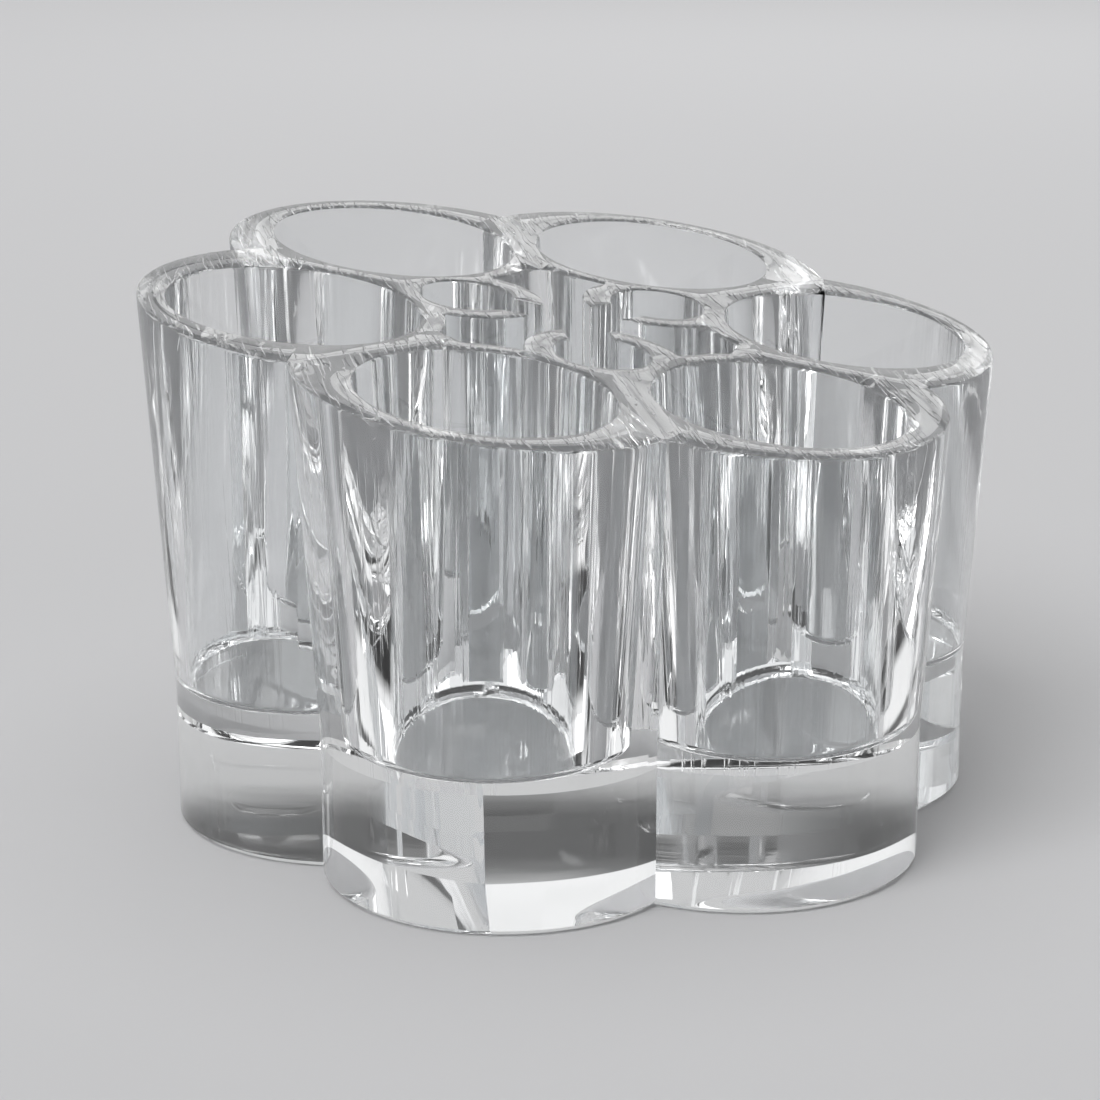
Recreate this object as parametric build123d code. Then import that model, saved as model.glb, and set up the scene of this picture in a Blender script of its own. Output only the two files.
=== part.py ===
from build123d import *
import os
from math import cos, hypot, radians, sin, sqrt, tan

# Counts of the flower, and a full turn in degrees
well_count = 6
tube_count = 3
full_turn = 360.0

# Heights: the solid base, then the open wells up to one slanted rim
base_height = 22.0
boss_height = 0.6
rim_axis_height = 79.3
rim_slant = 8.1
rim_heading = 130.0

# Large wells, wider at the rim than at the floor, and the wall behind them
well_rim_radius = 19.6
well_draft = 3.0
inner_wall = 4.0

# Outside of a petal: upright on the base, leaning outwards above it
petal_offset = 7.8
petal_tip_wall = 3.8
petal_draft = 3.6

# Thin tubes in the middle, slotted towards it, nested between the petals, and the open void between them
tube_bore_radius = 7.6
tube_slot = 7.3
tube_free_wall = 4.6
tube_nest_wall = 1.6
petal_nest_wall = 1.8
void_gap = 7.1
void_end_wall = 1.4

# Edge breaks, and the room left round a boss for the solvent bond
rim_break = 0.5
foot_break = 0.8
boss_break = 0.3
bond_gap = 0.05

# Overrun of the cutting stock above the rim
stock_margin = 20.0

# Shares of an edge where it is tested against the rim plane
edge_shares = (0.0, 0.25, 0.5, 0.75, 1.0)

petal_names = (
    "petal_right",
    "petal_back_right",
    "petal_back_left",
    "petal_left",
    "petal_front_left",
    "petal_front_right",
)
tube_names = ("small_tube_right", "small_tube_left", "small_tube_front")

# Places of the thin tubes: their free sides stand one gap apart
well_step = full_turn / well_count
tube_step = full_turn / tube_count
tube_angles = [well_step / 2 + tube_step * index for index in range(tube_count)]
free_radius = tube_bore_radius + tube_free_wall
nest_radius = tube_bore_radius + tube_nest_wall
tube_ring_radius = (free_radius + void_gap / 2) / sin(radians(tube_step / 2))

# Places of the wells: each stands two thin walls away from the bore of one tube
well_angles = [well_step * index for index in range(well_count)]
nest_distance = well_rim_radius + petal_nest_wall + nest_radius
tube_along = tube_ring_radius * cos(radians(well_step / 2))
tube_aside = tube_ring_radius * sin(radians(well_step / 2))
well_ring_radius = tube_along + sqrt(nest_distance**2 - tube_aside**2)

# Outline of a petal, measured at the top of the base
lean_height = rim_axis_height - base_height
well_floor_radius = well_rim_radius - tan(radians(well_draft)) * lean_height
petal_ring_radius = well_ring_radius - petal_offset
petal_radius = petal_offset + well_floor_radius + petal_tip_wall

# Back of the wells and ends of the void
inner_wall_radius = well_rim_radius + inner_wall
void_radius = tube_ring_radius + nest_radius - void_end_wall

# Cutting stock, only used to trim the pieces
floor_height = base_height + boss_height
stock_height = rim_axis_height + stock_margin
stock_reach = 2 * (petal_ring_radius + petal_radius)

on_floor = (Align.CENTER, Align.CENTER, Align.MIN)


def around(radius, angle):
    """Place on a ring round the upright axis of the flower."""
    return Pos(radius * cos(radians(angle)), radius * sin(radians(angle)), 0.0)


def upright(radius, low, high):
    """Plain cylinder between two heights."""
    return Pos(0.0, 0.0, low) * Cylinder(radius, high - low, align=on_floor)


def low_boss(radius):
    """Low boss on the base that centres a well or tube, with its edge broken."""
    boss = upright(radius - bond_gap, base_height, floor_height)
    return chamfer(boss.edges().group_by(Axis.Z)[-1], boss_break)


def leaning(radius, draft):
    """Cone on top of the base that widens upwards from the given radius."""
    height = stock_height - base_height
    top_radius = radius + tan(radians(draft)) * height
    return Pos(0.0, 0.0, base_height) * Cone(radius, top_radius, height, align=on_floor)


def sector(angle):
    """Wedge of one petal, between the two mid planes shared with its neighbours."""
    first = around(stock_reach, angle - well_step / 2).position
    last = around(stock_reach, angle + well_step / 2).position
    outline = Polyline((0.0, 0.0), (first.X, first.Y), (last.X, last.Y), close=True)
    return Pos(0.0, 0.0, base_height) * extrude(make_face(outline), stock_height - base_height)


def on_upright_face(points, faces):
    """True where all the points lie on one of the given upright round faces."""
    for place, radius in faces:
        middle = place.position
        offs = [abs(hypot(point.X - middle.X, point.Y - middle.Y) - radius) for point in points]
        if max(offs) < bond_gap:
            return True
    return False


def break_rim(edges, sharp_faces):
    """Break those of the edges that lie on the slanted rim, apart from those of the given faces."""
    plane = Plane(slant_place)
    free_edges = ShapeList()
    for edge in edges:
        points = [edge.position_at(share) for share in edge_shares]
        off_plane = max(abs(plane.z_dir.dot(point - plane.origin)) for point in points)
        if off_plane < bond_gap and not on_upright_face(points, sharp_faces):
            free_edges.append(edge)
    return chamfer(free_edges, rim_break)


# One slanted plane trims every open rim
slant_place = Pos(0.0, 0.0, rim_axis_height) * Rot(Z=rim_heading) * Rot(Y=-rim_slant)
above_rim = slant_place * Box(2 * stock_reach, 2 * stock_reach, stock_height, align=on_floor)

# Solid base: the flower outline, with a low boss that centres every well and tube
base = upright(void_radius, 0.0, base_height)
foot = Cone(petal_radius - foot_break, petal_radius, foot_break, align=on_floor)
for angle in well_angles:
    base += around(petal_ring_radius, angle) * upright(petal_radius, foot_break, base_height)
    base += around(petal_ring_radius, angle) * foot
well_boss = low_boss(well_floor_radius)
tube_boss = low_boss(tube_bore_radius)
for angle in well_angles:
    base += around(well_ring_radius, angle) * well_boss
for angle in tube_angles:
    base += around(tube_ring_radius, angle) * tube_boss
pieces = {"base_block": base}

# Stock for the middle: round nests for the thin tubes, and the void behind the wells
nest = upright(nest_radius, base_height, stock_height)
well_back = upright(inner_wall_radius, base_height, stock_height)
middle_stock = upright(void_radius, base_height, stock_height)
for angle in well_angles:
    middle_stock -= around(well_ring_radius, angle) * well_back

# Faces whose rim stays sharp: bonded ones, and those of the open void
sharp_faces = [(around(0.0, 0.0), void_radius)]
sharp_faces += [(around(tube_ring_radius, angle), nest_radius) for angle in tube_angles]
sharp_faces += [(around(well_ring_radius, angle), inner_wall_radius) for angle in well_angles]

# Six petals, each a leaning shell round one well
shell = leaning(petal_radius, petal_draft)
well = leaning(well_floor_radius, well_draft)
for name, angle in zip(petal_names, well_angles):
    petal = around(petal_ring_radius, angle) * shell
    petal &= sector(angle)
    petal -= middle_stock
    for tube_angle in tube_angles:
        petal -= around(tube_ring_radius, tube_angle) * nest
    petal -= around(well_ring_radius, angle) * well
    petal -= above_rim
    pieces[name] = break_rim(petal.edges().filter_by(GeomType.LINE, reverse=True), sharp_faces)

# Three thin tubes, thick and slotted towards the void, and thin where they nest between two petals
tube_bore = upright(tube_bore_radius, base_height, stock_height)
tube_body = upright(free_radius, base_height, stock_height)
from_middle = (Align.MIN, Align.CENTER, Align.MIN)
slot_stock = Box(tube_ring_radius, tube_slot, stock_height - base_height, align=from_middle)
for name, angle in zip(tube_names, tube_angles):
    tube = around(tube_ring_radius, angle) * tube_body
    tube &= middle_stock
    tube += around(tube_ring_radius, angle) * nest
    tube -= around(tube_ring_radius, angle) * tube_bore
    tube -= Rot(Z=angle) * Pos(0.0, 0.0, base_height) * slot_stock
    tube -= above_rim
    pieces[name] = break_rim(tube.edges(), sharp_faces)

os.makedirs("parts", exist_ok=True)
for name, piece in pieces.items():
    solid = piece.solid()
    print(name, round(solid.volume), "cubic mm, valid", solid.is_valid)
    export_step(solid, "parts/" + name + ".step")
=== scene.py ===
# %% [markdown]
# # A clear acrylic flower for brushes and cosmetics
# Six round wells stand like petals round three thin tubes, on a thick base with the same scalloped outline.
# Every piece is polished, water-clear acrylic, so the lesson is about two things: closed meshes that bend
# light cleanly, and a material and a light that make a colourless thing visible.
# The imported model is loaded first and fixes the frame: metres, +Z up, the middle of the underside at the
# origin.

# %% Load the frame
import bmesh
import bpy
from math import acos, asin, atan2, cos, degrees, pi, radians, sin, sqrt, tan
from mathutils import Matrix, Vector


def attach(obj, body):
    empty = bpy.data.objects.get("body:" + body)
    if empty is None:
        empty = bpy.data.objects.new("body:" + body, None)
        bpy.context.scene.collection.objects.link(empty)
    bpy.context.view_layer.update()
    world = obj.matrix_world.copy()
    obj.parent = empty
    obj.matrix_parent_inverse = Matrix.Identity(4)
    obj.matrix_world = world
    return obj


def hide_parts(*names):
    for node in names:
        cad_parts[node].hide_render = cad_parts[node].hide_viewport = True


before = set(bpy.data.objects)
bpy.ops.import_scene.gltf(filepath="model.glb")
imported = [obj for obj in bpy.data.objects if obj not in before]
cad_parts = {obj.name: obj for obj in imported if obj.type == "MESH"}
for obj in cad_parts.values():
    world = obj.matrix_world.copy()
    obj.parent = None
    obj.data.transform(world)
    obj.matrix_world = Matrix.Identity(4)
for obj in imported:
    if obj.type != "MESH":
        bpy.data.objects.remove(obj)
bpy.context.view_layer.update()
print("nodes in the frame:", len(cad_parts))

# %% [markdown]
# ## Heights of the real piece
# The visual pieces repeat the sizes of the solids, in metres. From below come the solid base, a low boss that
# centres each well, and one slanted plane that cuts every rim. A blank is made taller than the rim, because
# a saw needs stock to cut off.

# %% Heights
MM = 0.001
base_height = 22.0 * MM
boss_height = 0.6 * MM
boss_break = 0.3 * MM
boss_gap = 0.05 * MM
foot_break = 0.8 * MM
floor_height = base_height + boss_height
bond_top = floor_height - boss_break

rim_height = 79.3 * MM
rim_slant = radians(8.1)
rim_heading = radians(130.0)
rim_aside = -sin(rim_slant)
rim_up = Vector((rim_aside * cos(rim_heading), rim_aside * sin(rim_heading), cos(rim_slant)))
rim_spot = Vector((0, 0, rim_height))
stock_top = rim_height + 20.0 * MM
print("well floors at", round(floor_height / MM, 2), "rim at", round(rim_height / MM, 2), "mm")

# %% [markdown]
# ## Places on the ring
# Places are worked out in the same order as a maker would: the thin tubes keep a gap in the middle, each well
# stands two thin walls away from a tube, and the petal outline follows the well. Typing the finished places
# instead would be shorter, but one change would then break the fit.

# %% Thin tubes
tube_count, well_count = 3, 6
half_petal = pi / well_count
nest_wall, free_wall = 1.6 * MM, 4.6 * MM
half_slot, half_gap = 3.65 * MM, 3.55 * MM
tube_bore = 7.6 * MM
tube_nest = tube_bore + nest_wall
tube_free = tube_bore + free_wall
tube_ring = (tube_free + half_gap) / sin(pi / tube_count)
print("tube ring", round(tube_ring / MM, 2), "mm")

# %% Wells
back_wall, thin_wall = 4.0 * MM, 1.8 * MM
well_rim = 19.6 * MM
well_lean = tan(radians(3.0))
well_floor = well_rim - well_lean * (rim_height - base_height)
well_back = well_rim + back_wall
well_to_tube = well_rim + thin_wall + tube_nest
tube_along, tube_aside = tube_ring * cos(half_petal), tube_ring * sin(half_petal)
well_ring = tube_along + sqrt(well_to_tube**2 - tube_aside**2)
print("well ring", round(well_ring / MM, 2), "mm")

# %% Petals and the open middle
petal_offset = 7.8 * MM
petal_lean = tan(radians(3.6))
petal_tip_wall, void_end_wall = 3.8 * MM, 1.4 * MM
petal_ring = well_ring - petal_offset
petal_foot = petal_offset + well_floor + petal_tip_wall
void_end = tube_ring + tube_nest - void_end_wall
print("petal foot", round(petal_foot / MM, 2), "mm, middle ends at", round(void_end / MM, 2), "mm")

# %% [markdown]
# ## Where the round walls meet
# A petal's outline is a chain of arcs. The corners of that chain are where two circles cross, which the law of
# cosines gives exactly. Exact corners matter here: neighbouring pieces must share them, or light would leak
# through a hair-thin gap in the finished picture.

# %% Corners of the outline
origin = Vector((0, 0, 0))
tube_place = Vector((tube_along, tube_aside, 0))
well_place = Vector((well_ring, 0, 0))
petal_place = Vector((petal_ring, 0, 0))


def turn_from(place, point):
    """Direction of a point seen from a place, from 0 up to a full turn."""
    return atan2(point.y - place.y, point.x - place.x) % (2 * pi)


def on_circle(place, radius, turn):
    return Vector((place.x + radius * cos(turn), place.y + radius * sin(turn), 0))


def crossing_turn(radius):
    """Direction, seen from the tube, in which a circle of this radius leaves the back of the well."""
    to_well = well_place - tube_place
    spread = acos((well_to_tube**2 + radius**2 - well_back**2) / (2 * well_to_tube * radius))
    return atan2(to_well.y, to_well.x) - spread


nest_turn = crossing_turn(tube_nest)
free_turn = crossing_turn(tube_free)
nest_corner = on_circle(tube_place, tube_nest, nest_turn)
free_corner = on_circle(tube_place, tube_free, free_turn)
void_turn = acos((well_ring**2 + void_end**2 - well_back**2) / (2 * well_ring * void_end))
void_corner = on_circle(origin, void_end, -void_turn)
print("nest leaves the well at", round(degrees(nest_turn), 1), "void corner at", round(degrees(void_turn), 1))

# %% [markdown]
# ## Tools for walls
# A wall is one upright edge that is spun round an axis. Spin keeps the steps even and the wall exactly round,
# and a slanted edge gives a leaning wall with the same call. Each wall remembers its finish in its material
# index: 0 for a polished wall, 1 for a bonded face inside the clear mass, 2 for a cut and polished face. And
# each point remembers the foot of its wall right below it, so that draw marks can later follow a leaning wall.

# %% Wall tools
WALL, BOND, CUT = 0, 1, 2
FOOT = "wall_foot"


def near(value, target, room=0.01 * MM):
    return abs(value - target) < room


def new_blank():
    bm = bmesh.new()
    bm.verts.layers.float_vector.new(FOOT)
    return bm


def spun_wall(bm, place, profile, start, end, steps, finish):
    """Spin a chain of (radius, height) points round an upright axis between two directions."""
    foot = bm.verts.layers.float_vector[FOOT]
    before = set(bm.faces)
    chain = []
    for radius, height in profile:
        spot = on_circle(place, radius, start)
        chain.append(bm.verts.new((spot.x, spot.y, height)))
    edges = [bm.edges.new(pair) for pair in zip(chain, chain[1:])]
    bmesh.ops.spin(
        bm, geom=chain + edges, cent=place, axis=(0, 0, 1), angle=end - start, steps=steps,
        use_merge=near(end - start, 2 * pi),
    )
    for face in set(bm.faces) - before:
        face.material_index = finish
        for vert in face.verts:
            aside = (vert.co - place).to_2d().normalized() * profile[0][0]
            vert[foot] = place + aside.to_3d()


trial_steps = 12
trial = new_blank()
spun_wall(trial, origin, [(well_floor, 0), (well_rim, rim_height)], 0, 2 * pi, trial_steps, WALL)
print("trial wall:", len(trial.faces), "faces from", trial_steps, "steps of a full turn")
trial.free()

# %% [markdown]
# ## Tools for cutting
# A blank is made too wide and too tall, and planes then cut it to size. A cut leaves open edges, which are
# found again by where they lie, so that the piece can be closed there. Points that fall together are merged first.

# %% Cutting tools
weld_room = 0.002 * MM
cut_room = 0.0005 * MM


def whole(bm):
    return bm.verts[:] + bm.edges[:] + bm.faces[:]


def merge(bm):
    bmesh.ops.remove_doubles(bm, verts=bm.verts[:], dist=weld_room)


def trim(bm, point, normal, keep_all=False):
    """Cut everything along a plane and drop what lies on the side the normal points to."""
    bmesh.ops.bisect_plane(
        bm, geom=whole(bm), dist=cut_room, plane_co=point, plane_no=normal, clear_outer=not keep_all
    )


def open_edges(bm, test):
    return [edge for edge in bm.edges if edge.is_boundary and all(test(vert.co) for vert in edge.verts)]


trial = new_blank()
spun_wall(trial, origin, [(well_floor, 0), (well_rim, stock_top)], 0, 2 * pi, trial_steps, WALL)
trim(trial, rim_spot, rim_up)
print("trial cut leaves", len(open_edges(trial, lambda spot: spot.z > base_height)), "open edges at the rim")
trial.free()

# %% [markdown]
# ## One petal blank
# All six petals start from the same blank: a leaning outer wall, two flat sides on the planes shared with the
# neighbours, a hollow that takes the thin tube, and a tapering well. It could be carved with booleans, but those
# leave slivers that show up as dark scratches in clear material, so the blank is spun and trimmed instead. The
# well ends in a small round toe on the boss below it, which shows as a bright ring round each well floor.

# %% Round toe of a well
toe = 1.7 * MM
toe_steps = 8
toe_height = floor_height + toe
toe_middle = well_floor + well_lean * (toe_height - base_height) - toe * sqrt(1 + well_lean**2)
toe_turns = [radians(-90 + 87 * step / toe_steps) for step in range(toe_steps + 1)]
toe_curve = [(toe_middle + toe * cos(turn), toe_height + toe * sin(turn)) for turn in toe_turns]
print("toe runs from radius", round(toe_curve[0][0] / MM, 2), "to", round(toe_curve[-1][0] / MM, 2), "mm")

# %% Outer wall of a petal
petal_reach = radians(80)
petal_steps = 240
well_steps = 288
side_up = Vector((-sin(half_petal), cos(half_petal), 0))
side_down = Vector((-sin(half_petal), -cos(half_petal), 0))


def outer_wall(profile):
    """Wall round a petal's own axis, trimmed at the two planes shared with its neighbours."""
    bm = new_blank()
    spun_wall(bm, petal_place, profile, -petal_reach, petal_reach, petal_steps, WALL)
    trim(bm, origin, side_up)
    trim(bm, origin, side_down)
    return bm


def close_side(bm, normal):
    """Fill the flat side of a petal between its outer wall and its back."""
    chain = open_edges(bm, lambda spot: near(spot.dot(normal), 0))
    ends = dict.fromkeys(vert for edge in chain for vert in edge.verts)
    for level in (base_height, stock_top):
        chain.append(bm.edges.new([vert for vert in ends if near(vert.co.z, level)]))
    for face in bmesh.ops.edgenet_fill(bm, edges=chain)["faces"]:
        face.material_index = BOND


high = stock_top - base_height
trial = outer_wall([(petal_foot, base_height), (petal_foot + petal_lean * high, stock_top)])
print("outer wall of a petal:", len(trial.faces), "faces")
trial.free()

# %% The blank
hollow_steps, shoulder_steps, back_steps, void_end_steps = 60, 10, 24, 8
levels = (base_height, stock_top)


def petal_blank():
    bm = outer_wall([(petal_foot, base_height), (petal_foot + petal_lean * high, stock_top)])
    hollow = [(tube_nest, level) for level in levels]
    spun_wall(bm, tube_place, hollow, half_petal, nest_turn, hollow_steps, BOND)
    back = [(well_back, level) for level in levels]
    turns = [turn_from(well_place, spot) for spot in (nest_corner, free_corner, void_corner)]
    spun_wall(bm, well_place, back, turns[0], turns[1], shoulder_steps, BOND)
    spun_wall(bm, well_place, back, turns[1], turns[2], back_steps, WALL)
    end = [(void_end, level) for level in levels]
    spun_wall(bm, origin, end, -void_turn, -half_petal, void_end_steps, WALL)
    merge(bm)
    close_side(bm, side_up)
    close_side(bm, side_down)

    boss_side = [(well_floor, base_height), (well_floor + well_lean * boss_height, floor_height)]
    spun_wall(bm, well_place, boss_side + toe_curve[:1], 0, 2 * pi, well_steps, BOND)
    well_top = (well_floor + well_lean * high, stock_top)
    spun_wall(bm, well_place, toe_curve + [well_top], 0, 2 * pi, well_steps, WALL)
    merge(bm)
    return bm


blank = petal_blank()
print("petal blank:", len(blank.faces), "faces")

# %% [markdown]
# ## Sawing the rim and closing the piece
# One slanted plane cuts every rim. After the cut the blank is open at the top and at the foot, and a flat
# triangle fill between the outer and the inner loops closes both. Bridging the loops would be the other way, but
# it needs loops with like counts. The sharp rim then gets a fine bevel, as a polishing wheel leaves it, but only
# along free edges: a bonded edge stays sharp, because its neighbour carries on from there.

# %% Finish a piece
edge_break = 0.55 * MM
edge_segments = 2


def fill_between(bm, loops, normal, finish):
    """Fill the flat area between an outer loop and the loops inside it."""
    before = set(bm.faces)
    bmesh.ops.triangle_fill(bm, edges=loops, use_beauty=True, normal=normal)
    for face in set(bm.faces) - before:
        face.material_index = finish


def saw_and_close(bm):
    """Saw the rim, close rim and foot, and break the free edges of the rim."""
    trim(bm, rim_spot, rim_up)
    top = open_edges(bm, lambda spot: near((spot - rim_spot).dot(rim_up), 0))
    foot = open_edges(bm, lambda spot: near(spot.z, base_height))
    fill_between(bm, top, rim_up, CUT)
    fill_between(bm, foot, (0, 0, -1), BOND)
    bmesh.ops.recalc_face_normals(bm, faces=bm.faces[:])
    free = [
        edge for edge in bm.edges
        if sorted(face.material_index for face in edge.link_faces) == [WALL, CUT]
    ]
    bmesh.ops.bevel(
        bm, geom=free, offset=edge_break, offset_type="OFFSET", affect="EDGES", segments=edge_segments,
        profile=0.5, material=-1, clamp_overlap=True,
    )
    return bm


trial = saw_and_close(blank.copy())
print("one petal:", len(trial.faces), "faces,", round(trial.calc_volume(signed=False) / MM**3), "cubic mm")
trial.free()

# %% [markdown]
# ## From mesh to piece
# A finished mesh becomes an object at the origin, with its place in its mesh, and rides on the one rigid body.
# Round walls are shaded smooth and corners stay sharp. Weighted normals would do that too, but the angle between
# two faces is enough here, since no wall turns by much from one face to the next.

# %% Make the object
sharp_angle = radians(24)


def make_object(bm, name, materials):
    bmesh.ops.recalc_face_normals(bm, faces=bm.faces[:])
    loose = sum(not edge.is_manifold for edge in bm.edges)
    mesh = bpy.data.meshes.new(name)
    bm.to_mesh(mesh)
    volume = bm.calc_volume()
    bm.free()
    mesh.shade_smooth()
    mesh.set_sharp_from_angle(angle=sharp_angle)
    for material in materials:
        mesh.materials.append(material)
    piece = bpy.data.objects.new(name, mesh)
    bpy.context.scene.collection.objects.link(piece)
    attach(piece, "root")
    print(name, len(mesh.polygons), "faces,", loose, "open edges,", round(volume / MM**3), "cubic mm")
    return piece


print("edges over", round(degrees(sharp_angle)), "degrees stay sharp")

# %% [markdown]
# ## Shader maths in plain Python
# Node trees are easier to read as sums, so a small class wraps a socket and turns `a * b + c` into Math nodes.
# Any other node comes from one method, which sets the node's options first and then its sockets.

# %% The socket wrapper
class Value:
    def __init__(self, sheet, socket):
        self.sheet, self.socket = sheet, socket

    def maths(self, operation, other):
        return self.sheet.node("ShaderNodeMath", {"operation": operation}, {0: self, 1: other})

    def __add__(self, other):
        return self.maths("ADD", other)

    def __mul__(self, other):
        return self.maths("MULTIPLY", other)

    __radd__ = __add__
    __rmul__ = __mul__


class Sheet:
    """A node tree that is written as expressions."""

    def __init__(self, owner):
        owner.use_nodes = True
        self.tree = owner.node_tree
        self.tree.nodes.clear()

    def node(self, kind, settings=None, inputs=None, output=0):
        node = self.tree.nodes.new(kind)
        for key, value in (settings or {}).items():
            if key == "stops":
                ramp = node.color_ramp.elements
                while len(ramp) < len(value):
                    ramp.new(0.5)
                for element, (position, shade) in zip(ramp, value):
                    element.position = position
                    element.color = (shade, shade, shade, 1)
            else:
                setattr(node, key, value)
        for key, value in (inputs or {}).items():
            if isinstance(value, Value):
                self.tree.links.new(value.socket, node.inputs[key])
            else:
                node.inputs[key].default_value = value
        return Value(self, node.outputs[output]) if node.outputs else None


trial = bpy.data.materials.new("trial")
sheet = Sheet(trial)
trial_sum = 0.5 * sheet.node("ShaderNodeTexNoise") + 0.2
print("0.5 * noise + 0.2 becomes", len(sheet.tree.nodes), "nodes, the last", trial_sum.socket.node.operation)
bpy.data.materials.remove(trial)

# %% [markdown]
# ## Clear acrylic
# The real material is colourless, with an index of refraction of 1.49. What makes it look real is how imperfect
# it is, so each finish has its own marks, which feed a very weak bump and, with faint hand smudges, the roughness.
# Walls have draw marks from their moulding. Noise on Object coordinates would let such a mark slide off a leaning
# wall, so it is read at the foot of the wall: every point above one foot has the same height, and the mark runs
# straight up. Smoothed steps give it a crisp edge, because soft waves would look like frosted plastic.

# %% Acrylic
acrylic_colour = (0.965, 0.975, 0.98, 1)
acrylic_ior = 1.49
mark_depth = 0.4 * MM


def acrylic(name, marks, roughness, bump_strength):
    """Clear acrylic. marks takes the sheet and the place on the piece and returns (height, haze)."""
    material = bpy.data.materials.new(name)
    sheet = Sheet(material)
    place = sheet.node("ShaderNodeTexCoord", output="Object")
    height, haze = marks(sheet, place)
    bump = sheet.node(
        "ShaderNodeBump", {}, {"Strength": bump_strength, "Distance": mark_depth, "Height": height}
    )
    surface = sheet.node(
        "ShaderNodeBsdfPrincipled",
        {},
        {
            "Base Color": acrylic_colour,
            "Roughness": roughness * haze,
            "IOR": acrylic_ior,
            "Transmission Weight": 1.0,
            "Normal": bump,
        },
    )
    sheet.node("ShaderNodeOutputMaterial", {}, {"Surface": surface})
    print(name, "has", len(sheet.tree.nodes), "nodes")
    return material


def noise(sheet, place, scale, detail):
    return sheet.node("ShaderNodeTexNoise", {}, {"Vector": place, "Scale": scale, "Detail": detail})


def stretched(sheet, place, scale):
    return sheet.node("ShaderNodeVectorMath", {"operation": "MULTIPLY"}, {0: place, 1: scale})


def smudges(sheet, place):
    patch = noise(sheet, place, scale=45.0, detail=4.0)
    return sheet.node("ShaderNodeMapRange", {}, {"Value": patch, "From Min": 0.45, "From Max": 0.75})


def crisp(sheet, height, low, high):
    """Turn soft noise into flats with crisp edges."""
    return sheet.node(
        "ShaderNodeMapRange",
        {"interpolation_type": "SMOOTHSTEP"},
        {"Value": height, "From Min": low, "From Max": high},
    )


print("acrylic: index of refraction", acrylic_ior, "marks up to", round(mark_depth / MM, 2), "mm")

# %% Finishes of the walls and the block
def draw_marks(sheet, place):
    foot = sheet.node("ShaderNodeAttribute", {"attribute_name": FOOT}, output="Vector")
    fine = crisp(sheet, noise(sheet, foot, scale=700.0, detail=2.0), low=0.54, high=0.60)
    broad = noise(sheet, foot, scale=170.0, detail=1.0)
    return fine * 0.4 + broad, smudges(sheet, place) * 0.8 + 0.2


def cast_waves(sheet, place):
    tall = stretched(sheet, place, scale=(1.0, 1.0, 0.3))
    wave = noise(sheet, tall, scale=60.0, detail=2.0)
    return wave, smudges(sheet, place) * 0.8 + 0.2


wall_finish = acrylic("drawn_acrylic_wall", draw_marks, roughness=0.02, bump_strength=0.05)
block_finish = acrylic("cast_acrylic_block", cast_waves, roughness=0.02, bump_strength=0.01)

# %% [markdown]
# ## Cut and polished faces
# The rims are sawn and then polished, which leaves fine lines in one direction. The floors of the wells are
# buffed, which leaves a soft swirl and a little haze. Both are noise on Object coordinates that is stretched
# along Y, which is enough on a flat face. A line for every tooth of the saw would take far more nodes and show
# no more.

# %% Finishes of the rims and the floors
def saw_lines(sheet, place):
    long = stretched(sheet, place, scale=(1.0, 0.02, 1.0))
    lines = noise(sheet, long, scale=900.0, detail=1.0)
    return crisp(sheet, lines, low=0.50, high=0.58), lines * 0.6 + smudges(sheet, place) * 0.4


def buffed_swirl(sheet, place):
    long = stretched(sheet, place, scale=(1.0, 0.15, 1.0))
    swirl = noise(sheet, long, scale=500.0, detail=4.0)
    return swirl, swirl * 0.6 + smudges(sheet, place) * 0.5


rim_finish = acrylic("sawn_polished_rim", saw_lines, roughness=0.04, bump_strength=0.3)
floor_finish = acrylic("polished_well_floor", buffed_swirl, roughness=0.12, bump_strength=0.02)

# %% [markdown]
# ## The bond
# Two clear pieces joined with solvent become one clear mass: light crosses the joint without bending. A glass
# shader on both faces of a joint would bend and mirror the light there, and a false seam would show, so bonded
# faces get a finish with no alpha at all. The pieces stay separate, but the light sees one block.

# %% Bond finish
bond_finish = bpy.data.materials.new("clear_bond")
sheet = Sheet(bond_finish)
bond = sheet.node("ShaderNodeBsdfPrincipled", {}, {"Base Color": (1, 1, 1, 1), "Alpha": 0.0})
sheet.node("ShaderNodeOutputMaterial", {}, {"Surface": bond})
piece_finishes = (wall_finish, bond_finish, rim_finish)
print("finishes of a petal or tube:", ", ".join(finish.name for finish in piece_finishes))

# %% [markdown]
# ## Six petals
# Every second petal is the mirror image of its neighbour, because each thin tube nests between two of them. A copy
# of the blank is mirrored if need be, turned to its place and only then sawn, since the saw plane is the same for
# all. Copying a finished petal would not do: every petal has another height.

# %% Petals
petal_names = ("right", "back_right", "back_left", "left", "front_left", "front_right")
mirrored = Matrix.Scale(-1, 3, (0, 1, 0))


def turned(blank, turn):
    """Copy of a blank that is turned to its place, with the feet of its walls."""
    bm = blank.copy()
    foot = bm.verts.layers.float_vector[FOOT]
    bmesh.ops.transform(bm, matrix=turn.to_4x4(), verts=bm.verts[:])
    for vert in bm.verts:
        vert[foot] = turn @ vert[foot]
    return bm


for index, side in enumerate(petal_names):
    turn = Matrix.Rotation(2 * pi * index / well_count, 3, "Z")
    if index % 2:
        turn = turn @ mirrored
    petal = make_object(saw_and_close(turned(blank, turn)), "clear_petal_" + side, piece_finishes)
    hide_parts("petal_" + side)
blank.free()

# %% [markdown]
# ## Three thin tubes
# A thin tube is thick towards the open middle and thinner where it nests between two petals, and a slot opens
# it to the middle over its whole height. So its outline is one closed chain, like a letter C: round outside,
# along one cheek of the slot, round the bore, and back along the other cheek. Two short shoulders lie against the
# backs of the wells. The tube is spun with its axis on the +X side and then turned to its place.

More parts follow.
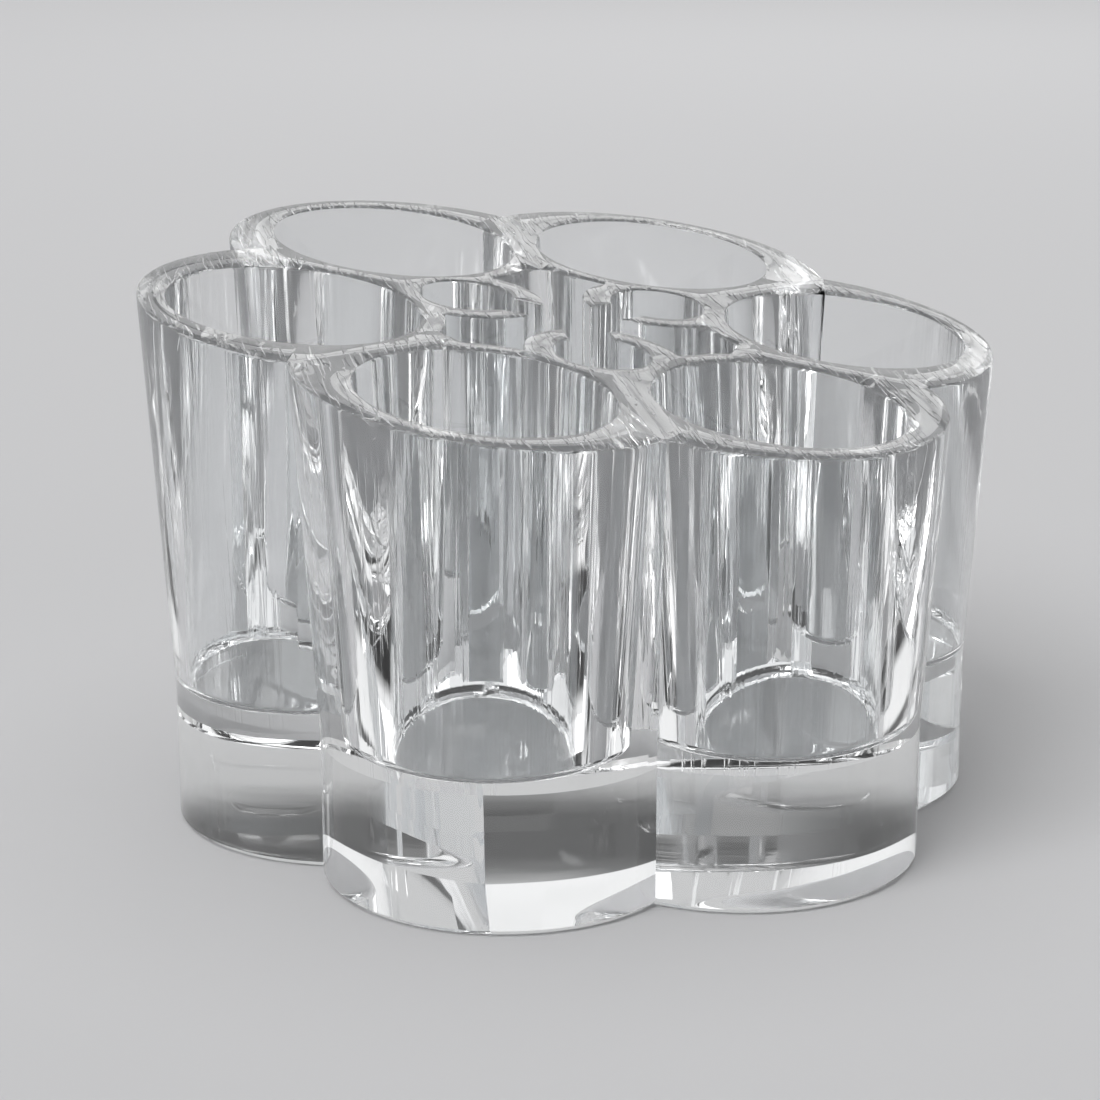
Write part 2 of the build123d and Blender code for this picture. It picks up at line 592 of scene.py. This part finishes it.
# %% Thin tube blank
nest_span = half_petal - nest_turn
free_span = half_petal - free_turn
slot_free = pi - asin(half_slot / tube_free)
slot_bore = pi - asin(half_slot / tube_bore)
nest_steps, free_steps, bore_steps = 96, 48, 144
tube_on_x = Vector((tube_ring, 0, 0))


def flat_wall(bm, first, last, finish):
    """Draw an upright edge sideways from one place to another."""
    before = set(bm.faces)
    ends = [bm.verts.new((first.x, first.y, level)) for level in levels]
    drawn = bmesh.ops.extrude_edge_only(bm, edges=[bm.edges.new(ends)])["geom"]
    moved = [item for item in drawn if isinstance(item, bmesh.types.BMVert)]
    bmesh.ops.translate(bm, vec=last - first, verts=moved)
    foot = bm.verts.layers.float_vector[FOOT]
    for vert in ends + moved:
        vert[foot] = vert.co.to_2d().to_3d()
    for face in set(bm.faces) - before:
        face.material_index = finish


def tube_half(bm, sign):
    """One shoulder, the thick side and the cheek of the slot."""
    well = on_circle(origin, well_ring, sign * half_petal)
    first = turn_from(well, on_circle(tube_on_x, tube_nest, sign * nest_span))
    last = turn_from(well, on_circle(tube_on_x, tube_free, sign * free_span))
    spun_wall(bm, well, [(well_back, level) for level in levels], first, last, shoulder_steps, BOND)
    thick = [(tube_free, level) for level in levels]
    spun_wall(bm, tube_on_x, thick, sign * free_span, sign * slot_free, free_steps, WALL)
    outer = on_circle(tube_on_x, tube_free, sign * slot_free)
    inner = on_circle(tube_on_x, tube_bore, sign * slot_bore)
    flat_wall(bm, outer, inner, WALL)


def tube_blank():
    bm = new_blank()
    nest = [(tube_nest, level) for level in levels]
    spun_wall(bm, tube_on_x, nest, -nest_span, nest_span, nest_steps, BOND)
    tube_half(bm, -1)
    tube_half(bm, 1)
    for low, top, finish in ((base_height, bond_top, BOND), (bond_top, stock_top, WALL)):
        bore = [(tube_bore, low), (tube_bore, top)]
        spun_wall(bm, tube_on_x, bore, -slot_bore, slot_bore, bore_steps, finish)
    trim(bm, (0, 0, bond_top), (0, 0, 1), keep_all=True)
    merge(bm)
    return bm


blank = tube_blank()
print("thin tube blank:", len(blank.faces), "faces")

# %% Thin tubes in place
tube_turns = [half_petal + 2 * pi * index / tube_count for index in range(tube_count)]
for tube_turn, side in zip(tube_turns, ("right", "left", "front")):
    turn = Matrix.Rotation(tube_turn, 3, "Z")
    tube = make_object(saw_and_close(turned(blank, turn)), "clear_thin_tube_" + side, piece_finishes)
    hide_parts("small_tube_" + side)
blank.free()

# %% [markdown]
# ## The base block
# The base is one thick block with the outline of the six petals. One sixth of its scalloped side is spun, trimmed
# at the two shared planes and repeated six times, with the low boss of its well. Spinning the whole side at once
# would be shorter to write, but a spin slows down as the mesh grows, so small meshes are made apart and joined.

# %% Tools for the base
def repeat(bm, count):
    """Repeat everything round the middle of the flower."""
    turn = 2 * pi * (count - 1) / count
    bmesh.ops.spin(
        bm, geom=whole(bm), cent=origin, axis=(0, 0, 1), angle=turn, steps=count - 1, use_duplicate=True
    )


def join(bm, other):
    """Take another mesh in, and free it."""
    carrier = bpy.data.meshes.new("carrier")
    other.to_mesh(carrier)
    other.free()
    bm.from_mesh(carrier)
    bpy.data.meshes.remove(carrier)


def boss_wall(bm, place, radius, start, end, steps, finish, edge_finish):
    """Low wall of a boss, with its broken edge."""
    upright = [(radius, base_height), (radius, bond_top)]
    spun_wall(bm, place, upright, start, end, steps, finish)
    broken = [(radius, bond_top), (radius - boss_break, floor_height)]
    spun_wall(bm, place, broken, start, end, steps, edge_finish)


well_boss = well_floor - boss_gap
trial = new_blank()
boss_wall(trial, well_place, well_boss, 0, 2 * pi, trial_steps, BOND, BOND)
repeat(trial, well_count)
print("trial of", well_count, "bosses:", len(trial.faces), "faces")
trial.free()

# %% Side of the base, and the bosses
tube_boss = tube_bore - boss_gap
slot_boss = pi - asin(half_slot / tube_boss)
boss_steps, boss_slot_steps = 120, 24


def base_side():
    """Scalloped side with the bosses of the wells, and the seats of the round toes on them."""
    bm = outer_wall([(petal_foot - foot_break, 0), (petal_foot, foot_break), (petal_foot, base_height)])
    boss_wall(bm, well_place, well_boss, 0, 2 * pi, well_steps, BOND, BOND)
    seat = [(well_boss - boss_break, floor_height), toe_curve[0]]
    spun_wall(bm, well_place, seat, 0, 2 * pi, well_steps, BOND)
    repeat(bm, well_count)
    return bm


def tube_bosses():
    """Bosses of the thin tubes, bonded round the bore and free in the slot."""
    bm = new_blank()
    boss_wall(bm, tube_on_x, tube_boss, -slot_boss, slot_boss, boss_steps, BOND, CUT)
    boss_wall(bm, tube_on_x, tube_boss, slot_boss, 2 * pi - slot_boss, boss_slot_steps, WALL, CUT)
    turn = Matrix.Rotation(half_petal, 3, "Z")
    bmesh.ops.rotate(bm, cent=origin, matrix=turn, verts=bm.verts[:])
    repeat(bm, tube_count)
    return bm


base = base_side()
join(base, tube_bosses())
merge(base)
print("side and bosses of the base:", len(base.faces), "faces")

# %% [markdown]
# ## The top of the base
# The top is filled in parts, because only the part under the petals and tubes is bonded: the bosses and the floor
# of the open middle are polished faces that show. The outline of that floor is drawn first as lines on the top of
# the base, from the same circles as the walls that stand on it, so that the walls and the floor meet exactly.

# %% Floor of the open middle
def spun_line(bm, place, radius, start, end, steps):
    """Spin one point round an upright axis, which leaves a line of edges on the top of the base."""
    spot = on_circle(place, radius, start)
    point = bm.verts.new((spot.x, spot.y, base_height))
    bmesh.ops.spin(bm, geom=[point], cent=place, axis=(0, 0, 1), angle=end - start, steps=steps)


def behind_well(bm, index):
    """Lines behind one well and at the end of the open middle beside it."""
    sign = -1 if index % 2 else 1
    turn = 2 * pi * index / well_count
    well = on_circle(origin, well_ring, turn)
    first = turn_from(well_place, free_corner) * sign + turn
    last = turn_from(well_place, void_corner) * sign + turn
    spun_line(bm, well, well_back, first, last, back_steps)
    spun_line(bm, origin, void_end, turn - sign * void_turn, turn - sign * half_petal, void_end_steps)


def round_tube(bm, turn):
    """Lines round the thick side of one tube, along its slot and round its boss."""
    place = on_circle(origin, tube_ring, turn)
    spun_line(bm, place, tube_boss, turn + slot_boss, turn + 2 * pi - slot_boss, boss_slot_steps)
    for sign in (-1, 1):
        spun_line(bm, place, tube_free, turn + sign * free_span, turn + sign * slot_free, free_steps)
        outer = on_circle(place, tube_free, turn + sign * slot_free)
        inner = on_circle(place, tube_boss, turn + sign * slot_boss)
        bm.edges.new([bm.verts.new((spot.x, spot.y, base_height)) for spot in (outer, inner)])


void_floor = bmesh.new()
for index in range(well_count):
    behind_well(void_floor, index)
for turn in tube_turns:
    round_tube(void_floor, turn)
merge(void_floor)
fill_between(void_floor, void_floor.edges[:], (0, 0, 1), CUT)
print("floor of the open middle:", len(void_floor.faces), "faces")

# %% Close the base
under = open_edges(base, lambda spot: near(spot.z, 0))
bmesh.ops.edgeloop_fill(base, edges=under)
tops = open_edges(base, lambda spot: near(spot.z, floor_height))
for face in bmesh.ops.edgeloop_fill(base, edges=tops)["faces"]:
    face.material_index = CUT
join(base, void_floor)
merge(base)
bonded = open_edges(base, lambda spot: near(spot.z, base_height))
fill_between(base, bonded, (0, 0, 1), BOND)
clear_base = make_object(base, "clear_base", (block_finish, bond_finish, floor_finish))
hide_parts("base_block")

# %% [markdown]
# ## The floor
# The flower stands on a plain pale floor, which is stage and not part of it. It is matt: a glossy floor would
# mirror the room and turn white when it is seen at a low angle.

# %% Floor
floor_half = 4.0
floor_drop = 0.2 * MM
floor_mesh = bpy.data.meshes.new("floor")
bm = bmesh.new()
floor_spot = Matrix.Translation((0, 0, -floor_drop))
bmesh.ops.create_grid(bm, x_segments=1, y_segments=1, size=floor_half, matrix=floor_spot)
bm.to_mesh(floor_mesh)
bm.free()
floor = bpy.data.objects.new("floor", floor_mesh)
bpy.context.scene.collection.objects.link(floor)

pale_floor = bpy.data.materials.new("pale_floor")
sheet = Sheet(pale_floor)
matt = sheet.node(
    "ShaderNodeBsdfPrincipled",
    {},
    {"Base Color": (0.64, 0.64, 0.65, 1), "Roughness": 0.9, "Specular IOR Level": 0.0},
)
sheet.node("ShaderNodeOutputMaterial", {}, {"Surface": matt})
floor_mesh.materials.append(pale_floor)
print("floor:", 2 * floor_half, "m wide")

# %% [markdown]
# ## The room
# A clear thing shows only by what it bends and mirrors, so a room of one even tone would leave it nearly
# invisible. The room is therefore a set of level rings, worked out from the height of a direction alone: a pale
# horizon, a thin dark ring that the thick base mirrors, a light ring, a dark one and a light ceiling. Lamps could
# make the same pattern, but they would also draw pools of light on the floor.

# %% Room
room_rings = (
    (0.0, 0.6), (0.32, 0.6), (0.345, 0.5),  # pale horizon
    (0.353, 0.1), (0.370, 0.1),  # thin dark ring
    (0.384, 0.95), (0.52, 0.9),  # light ring
    (0.56, 0.02), (0.83, 0.02),  # dark ring
    (0.86, 1.1),  # light ceiling
)
world = bpy.data.worlds.new("studio")
bpy.context.scene.world = world
sheet = Sheet(world)
direction = sheet.node("ShaderNodeTexCoord", output="Generated")
upward = sheet.node("ShaderNodeSeparateXYZ", {}, {0: direction}, output="Z")
shade = sheet.node("ShaderNodeValToRGB", {"stops": room_rings}, {"Fac": upward})
room = sheet.node("ShaderNodeBackground", {}, {"Color": shade, "Strength": 1.0})
sheet.node("ShaderNodeOutputWorld", {}, {"Surface": room})
print("room of", len(room_rings), "stops from the horizon to the ceiling")

# %% [markdown]
# ## Lights
# One broad sun from the front left adds a soft shadow, and one panel behind the flower lights the rims, which
# mirror what stands right behind them. The panel is narrow, because the base would mirror a wider one as a
# white block. More lamps would only flatten the streaks in the clear walls.

# %% Lights
flower_middle = Vector((0, 0, 0.04))


def hang(lamp, spot):
    """Hang a lamp at a spot, facing the flower."""
    light = bpy.data.objects.new(lamp.name, lamp)
    light.location = spot
    light.rotation_euler = (flower_middle - Vector(spot)).to_track_quat("-Z", "Y").to_euler()
    bpy.context.scene.collection.objects.link(light)


key = bpy.data.lights.new("soft_key", "SUN")
key.energy = 1.5
key.angle = radians(35)
hang(key, (-0.8, -0.7, 1.3))
panel = bpy.data.lights.new("back_panel", "AREA")
panel.shape = "RECTANGLE"
panel.size, panel.size_y = 0.5, 0.3
panel.energy = 0.5
hang(panel, (0.4, 1.1, 0.48))
print("lamps:", key.name, round(key.energy, 2), "and", panel.name, round(panel.energy, 2))

# %% [markdown]
# ## Camera
# The camera stands where the photograph was taken from: a little to the left of the front and about 16 degrees up.
# Its place and lens were fitted to the rims, the notches and the outline of the base. Setting it by eye would be
# quicker, but the ellipses of nine rims show every degree of error.

# %% Camera
picture_pixels = 1100
lens_pixels = 3126.93
sensor = 36.0
camera_spot = Vector((-110.283, -476.156, 180.578)) * MM
camera_right = Vector((0.97599856, -0.21777185, -0.00149357))
camera_up = Vector((0.06131579, 0.26820818, 0.96140769))
camera_back = Vector((-0.20896695, -0.9384241, 0.27512365))

camera_data = bpy.data.cameras.new("photo_camera")
camera_data.sensor_width = sensor
camera_data.lens = lens_pixels * sensor / picture_pixels
camera_data.clip_start = 0.01
camera = bpy.data.objects.new("photo_camera", camera_data)
camera_turn = Matrix((camera_right, camera_up, camera_back)).transposed().to_4x4()
camera.matrix_world = Matrix.Translation(camera_spot) @ camera_turn
bpy.context.scene.collection.objects.link(camera)
bpy.context.scene.camera = camera
print("lens", round(camera_data.lens, 1), "mm, camera", round(camera_spot.length, 3), "m from the flower")

# %% [markdown]
# ## Light paths
# Light crosses dozens of clear faces here, and a path that is cut short turns black, as a wedge in a well. So the
# limits are high.

scene = bpy.context.scene
scene.view_settings.view_transform = "Standard"
light_bounces, clear_crossings = 96, 256
scene.cycles.max_bounces = light_bounces
scene.cycles.transmission_bounces = light_bounces
scene.cycles.glossy_bounces = light_bounces
scene.cycles.transparent_max_bounces = clear_crossings
